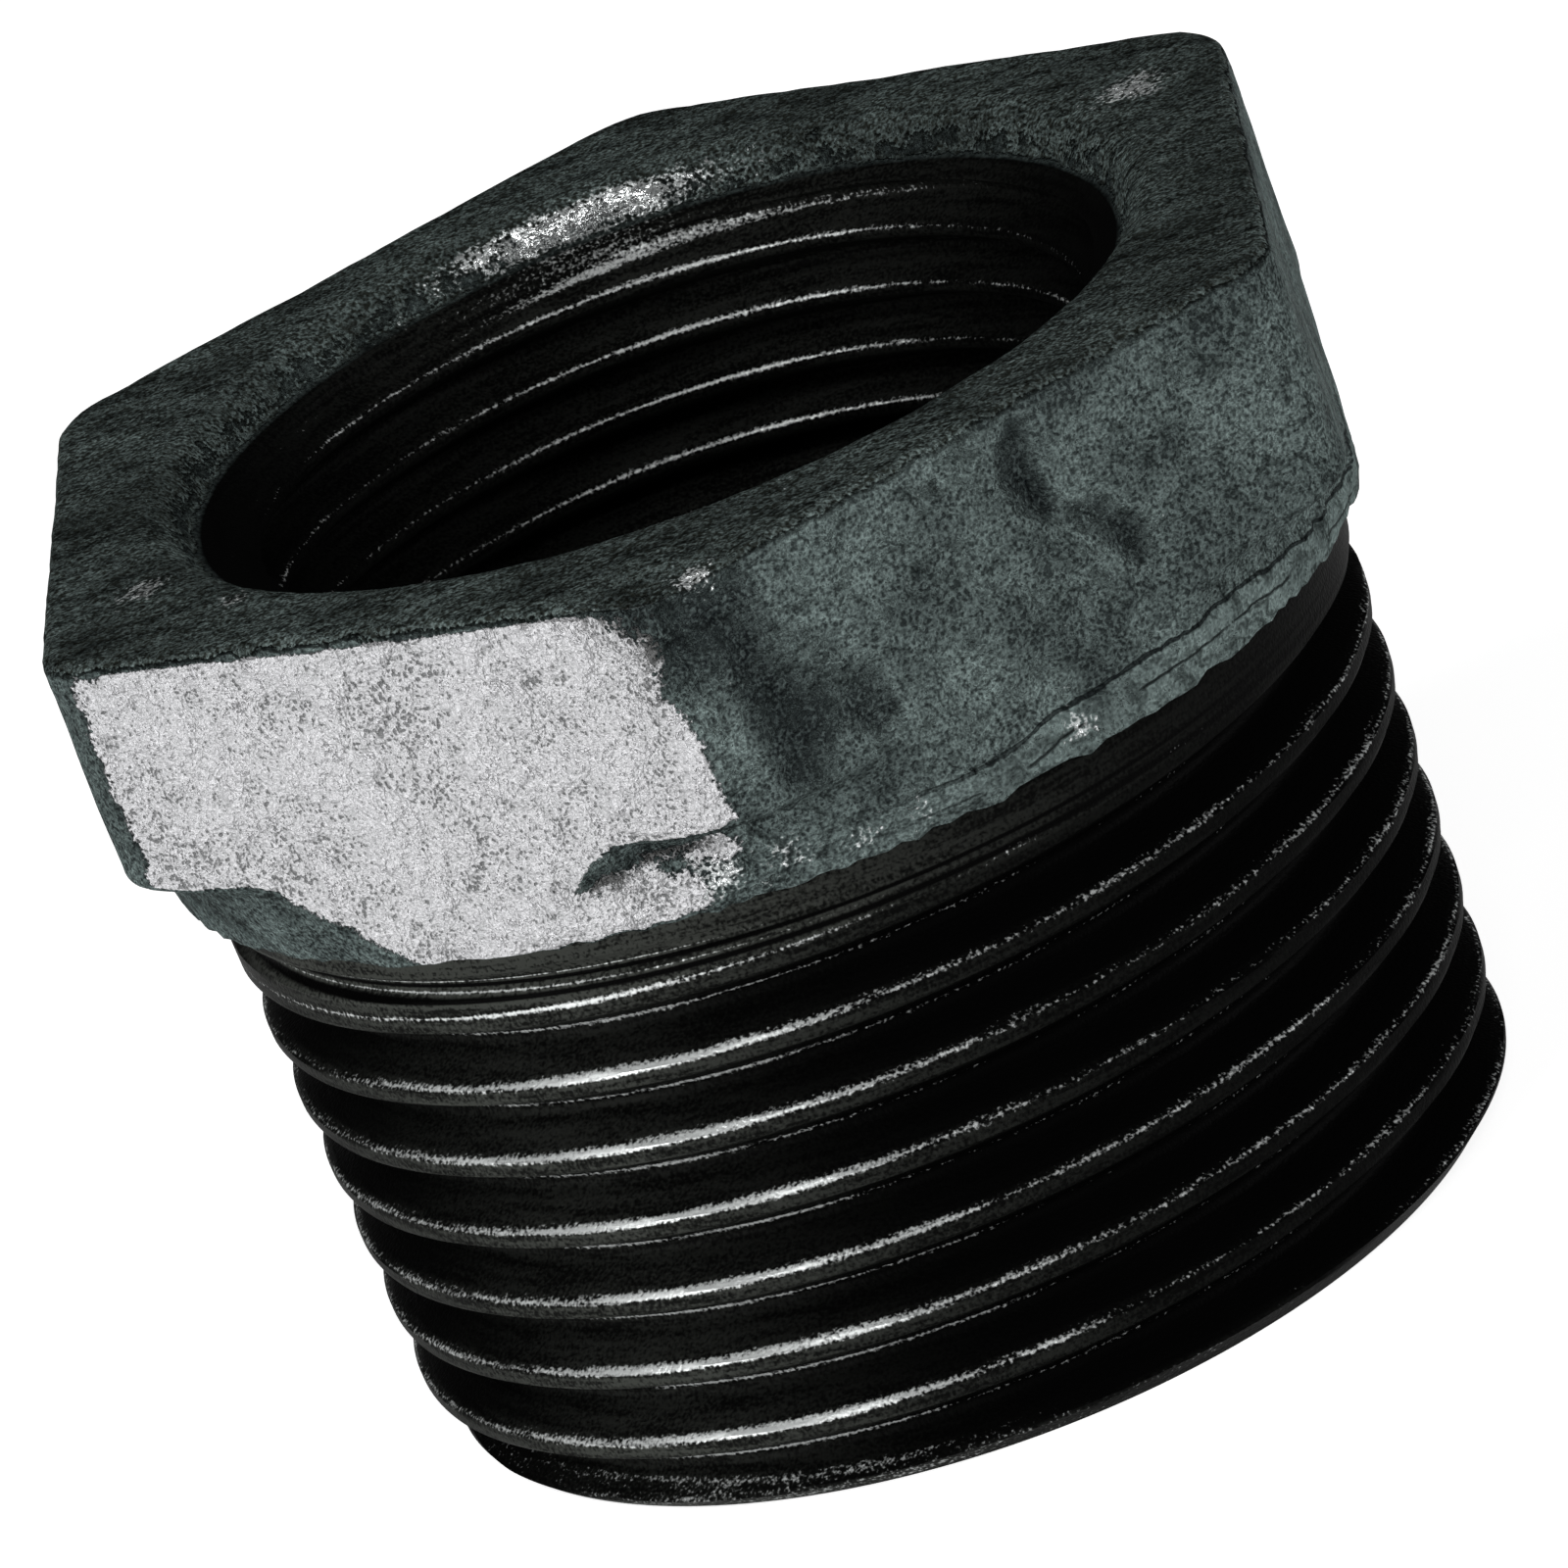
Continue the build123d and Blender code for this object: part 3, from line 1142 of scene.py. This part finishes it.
def add_softbox(name, azimuth, elevation, distance, width, height, radiance):
    """Soft rectangular lamp of a given brightness that faces the bushing."""
    lamp = bpy.data.lights.new(name, "AREA")
    lamp.shape = "RECTANGLE"
    lamp.size = width
    lamp.size_y = height
    lamp.energy = radiance * math.pi * width * height
    add_object(name, lamp).matrix_world = (
        Matrix.Translation((0, 0, LAMP_AIM))
        @ facing_away(math.radians(azimuth), math.radians(elevation))
        @ Matrix.Translation((0, 0, distance))
    )


def add_floor(studio):
    """Flat floor under the bushing."""
    sheet = bmesh.new()
    bmesh.ops.create_grid(sheet, x_segments=1, y_segments=1, size=studio.floor_size / 2)
    mesh = bpy.data.meshes.new("floor")
    sheet.to_mesh(mesh)
    sheet.free()
    mesh.materials.append(floor_material(studio.floor_colour, studio.floor_glow))
    return add_object("floor", mesh)


def add_camera(studio):
    """Camera that looks at its aim, tilted about its line of sight."""
    camera = add_object("camera", bpy.data.cameras.new("camera"))
    camera.data.lens = studio.lens
    camera.data.sensor_width = studio.sensor_width
    camera.matrix_world = (
        Matrix.Translation(studio.aim)
        @ facing_away(studio.azimuth, studio.elevation)
        @ Matrix.Rotation(studio.roll, 4, "Z")
        @ Matrix.Translation((0, 0, studio.distance))
    )
    return camera


class BUSHING_OT_body(bpy.types.Operator):
    """Model the bushing as one casting with both of its threads"""

    bl_idname = "bushing.body"
    bl_label = "Bushing Body"

    def execute(self, context):
        sizes = context.scene.bushing_sizes
        mesh = model_bushing(sizes)
        mesh.materials.append(iron_material(context.scene.bushing_finish, sizes))
        body = add_object("bushing_body", mesh)
        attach(body, "root")
        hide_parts(NODE)
        return {"FINISHED"}


class BUSHING_OT_stage(bpy.types.Operator):
    """Set up the floor, the lamps and the camera"""

    bl_idname = "bushing.stage"
    bl_label = "Studio"

    def execute(self, context):
        scene = context.scene
        studio = scene.bushing_studio
        add_floor(studio)
        scene.world = even_light(studio.fill)
        add_softbox("key", azimuth=-105, elevation=6, distance=0.6, width=0.36, height=0.26, radiance=14)
        add_softbox("side", azimuth=18, elevation=11, distance=0.6, width=0.3, height=0.3, radiance=10)
        add_softbox("glint", azimuth=-38, elevation=42, distance=0.55, width=0.4, height=0.05, radiance=8)
        add_softbox("high", azimuth=-108, elevation=50, distance=0.55, width=0.3, height=0.05, radiance=16)
        scene.camera = add_camera(studio)
        scene.view_settings.view_transform = "Standard"
        return {"FINISHED"}


class BUSHING_PT_panel(bpy.types.Panel):
    """Steps that build the bushing and its studio"""

    bl_idname = "BUSHING_PT_panel"
    bl_label = "Bushing"
    bl_space_type = "VIEW_3D"
    bl_region_type = "UI"
    bl_category = "Bushing"

    def draw(self, context):
        for step in (BUSHING_OT_body, BUSHING_OT_stage):
            self.layout.operator(step.bl_idname)


CLASSES = (
    BushingSizes,
    IronFinish,
    StudioSettings,
    BUSHING_OT_body,
    BUSHING_OT_stage,
    BUSHING_PT_panel,
)


def register():
    for kind in CLASSES:
        bpy.utils.register_class(kind)
    bpy.types.Scene.bushing_sizes = PointerProperty(type=BushingSizes)
    bpy.types.Scene.bushing_finish = PointerProperty(type=IronFinish)
    bpy.types.Scene.bushing_studio = PointerProperty(type=StudioSettings)


def unregister():
    del bpy.types.Scene.bushing_studio
    del bpy.types.Scene.bushing_finish
    del bpy.types.Scene.bushing_sizes
    for kind in reversed(CLASSES):
        bpy.utils.unregister_class(kind)


def main():
    register()
    bpy.ops.bushing.body()
    bpy.ops.bushing.stage()


if __name__ == "__main__":
    main()
